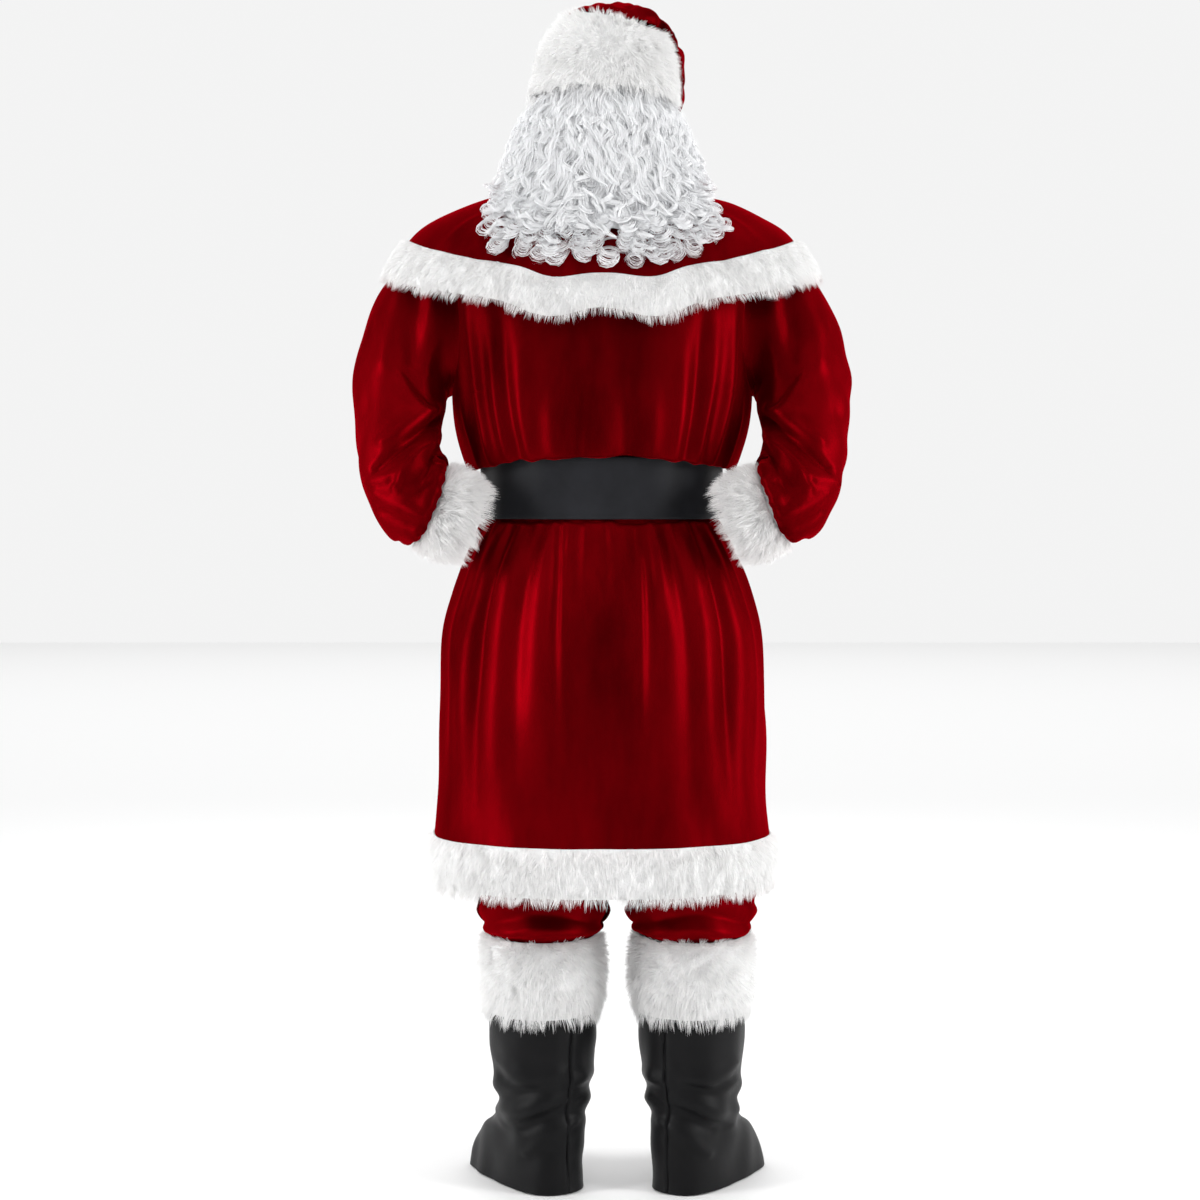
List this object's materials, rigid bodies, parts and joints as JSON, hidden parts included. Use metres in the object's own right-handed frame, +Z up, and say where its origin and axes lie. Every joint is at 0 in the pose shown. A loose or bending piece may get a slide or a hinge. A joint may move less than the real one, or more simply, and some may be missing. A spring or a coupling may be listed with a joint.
{
  "type": "santa suit",
  "caption": "Father Christmas costume in its worn shape: belted velvet coat, fur-edged shoulder cape, trousers, fur-topped boot covers, drooping hat and curled wig.",
  "frame": {"origin": "middle of the collar, where the wearer's neck and shoulders carry the suit; the ground under the boots is 1.525 m below it", "axes": "+Z up the standing wearer, the wearer faces -Y, +X is the wearer's left"},
  "size_m": [0.755, 0.438, 1.8146],
  "materials": {
    "velvet": "crimson velvet with a short pile that shines along its folds",
    "fur": "white long-pile fake fur",
    "belt": "black imitation leather, satin, fine grain",
    "buckle": "polished brass colour",
    "boot": "black imitation leather, soft and creased",
    "elastic": "black woven elastic",
    "hair": "white synthetic hair in locks with curled ends"
  },
  "bodies": {
    "root": {"coat_back": "velvet", "coat_front_left": "velvet", "coat_front_right": "velvet", "hem_fur": "fur", "sleeve_left": "velvet", "sleeve_right": "velvet", "cuff_fur_left": "fur", "cuff_fur_right": "fur", "cape_back": "velvet", "cape_front_left": "velvet", "cape_front_right": "velvet", "cape_fur": "fur", "belt_strap": "belt", "buckle_frame": "buckle", "buckle_prong": "buckle", "trouser_back_left": "velvet", "trouser_front_left": "velvet", "trouser_back_right": "velvet", "trouser_front_right": "velvet", "waistband": "elastic", "boot_outer_left": "boot", "boot_outer_right": "boot", "boot_inner_left": "boot", "boot_inner_right": "boot", "boot_fur_left": "fur", "boot_fur_right": "fur", "stirrup_left": "elastic", "stirrup_right": "elastic", "hat_band": "fur", "hat_bag": "velvet", "hat_pompom": "fur", "wig": "hair"}
  },
  "joints": []
}
